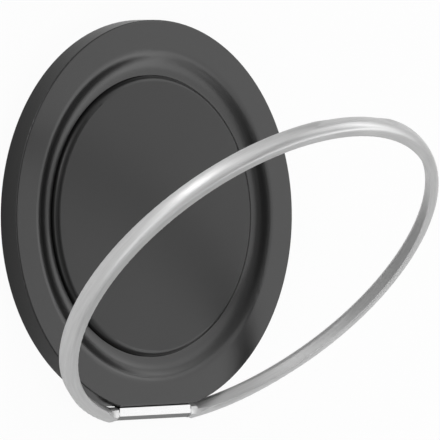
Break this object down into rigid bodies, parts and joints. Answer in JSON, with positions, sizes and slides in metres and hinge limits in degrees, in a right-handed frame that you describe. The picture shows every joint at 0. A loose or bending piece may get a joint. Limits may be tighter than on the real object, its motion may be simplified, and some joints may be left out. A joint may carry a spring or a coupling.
{
  "type": "magnetic phone grip",
  "caption": "Flat round magnetic phone grip with a grooved front face and a hinged metal finger ring that folds down around the disc.",
  "frame": {"origin": "centre of the back face, where the grip meets the phone", "axes": "+Z out of the front face, away from the phone; the hinge lies towards -Y; the part lies on its back face"},
  "size_m": [0.0642, 0.0593, 0.0464],
  "materials": {
    "black_body": "satin black anodised",
    "black_plate": "satin black anodised",
    "soft_pad": "matt silicone",
    "satin_steel": "satin stainless steel",
    "polished_steel": "polished stainless steel",
    "screw_steel": "plain steel",
    "shield_steel": "plain steel",
    "magnet_nickel": "nickel plated"
  },
  "bodies": {
    "base": {"base_disc": "black_body", "centre_plate": "black_plate", "back_pad": "soft_pad", "magnet_shield": "shield_steel", "hinge_block": "polished_steel", "hinge_screw_left": "screw_steel", "hinge_screw_right": "screw_steel", "friction_washer_left": "screw_steel", "friction_washer_right": "screw_steel", "magnet_01": "magnet_nickel", "magnet_02": "magnet_nickel", "magnet_03": "magnet_nickel", "magnet_04": "magnet_nickel", "magnet_05": "magnet_nickel", "magnet_06": "magnet_nickel", "magnet_07": "magnet_nickel", "magnet_08": "magnet_nickel", "magnet_09": "magnet_nickel", "magnet_10": "magnet_nickel", "magnet_11": "magnet_nickel", "magnet_12": "magnet_nickel", "magnet_13": "magnet_nickel", "magnet_14": "magnet_nickel", "magnet_15": "magnet_nickel", "magnet_16": "magnet_nickel"},
    "ring": {"finger_ring": "satin_steel", "hinge_pin": "screw_steel"}
  },
  "joints": [
    {"name": "ring_hinge", "type": "hinge", "parent": "base", "child": "ring", "pos_m": [0, -0.02905, 0.00175], "axis": [1, 0, 0], "range_deg": [-46, 134]}
  ]
}
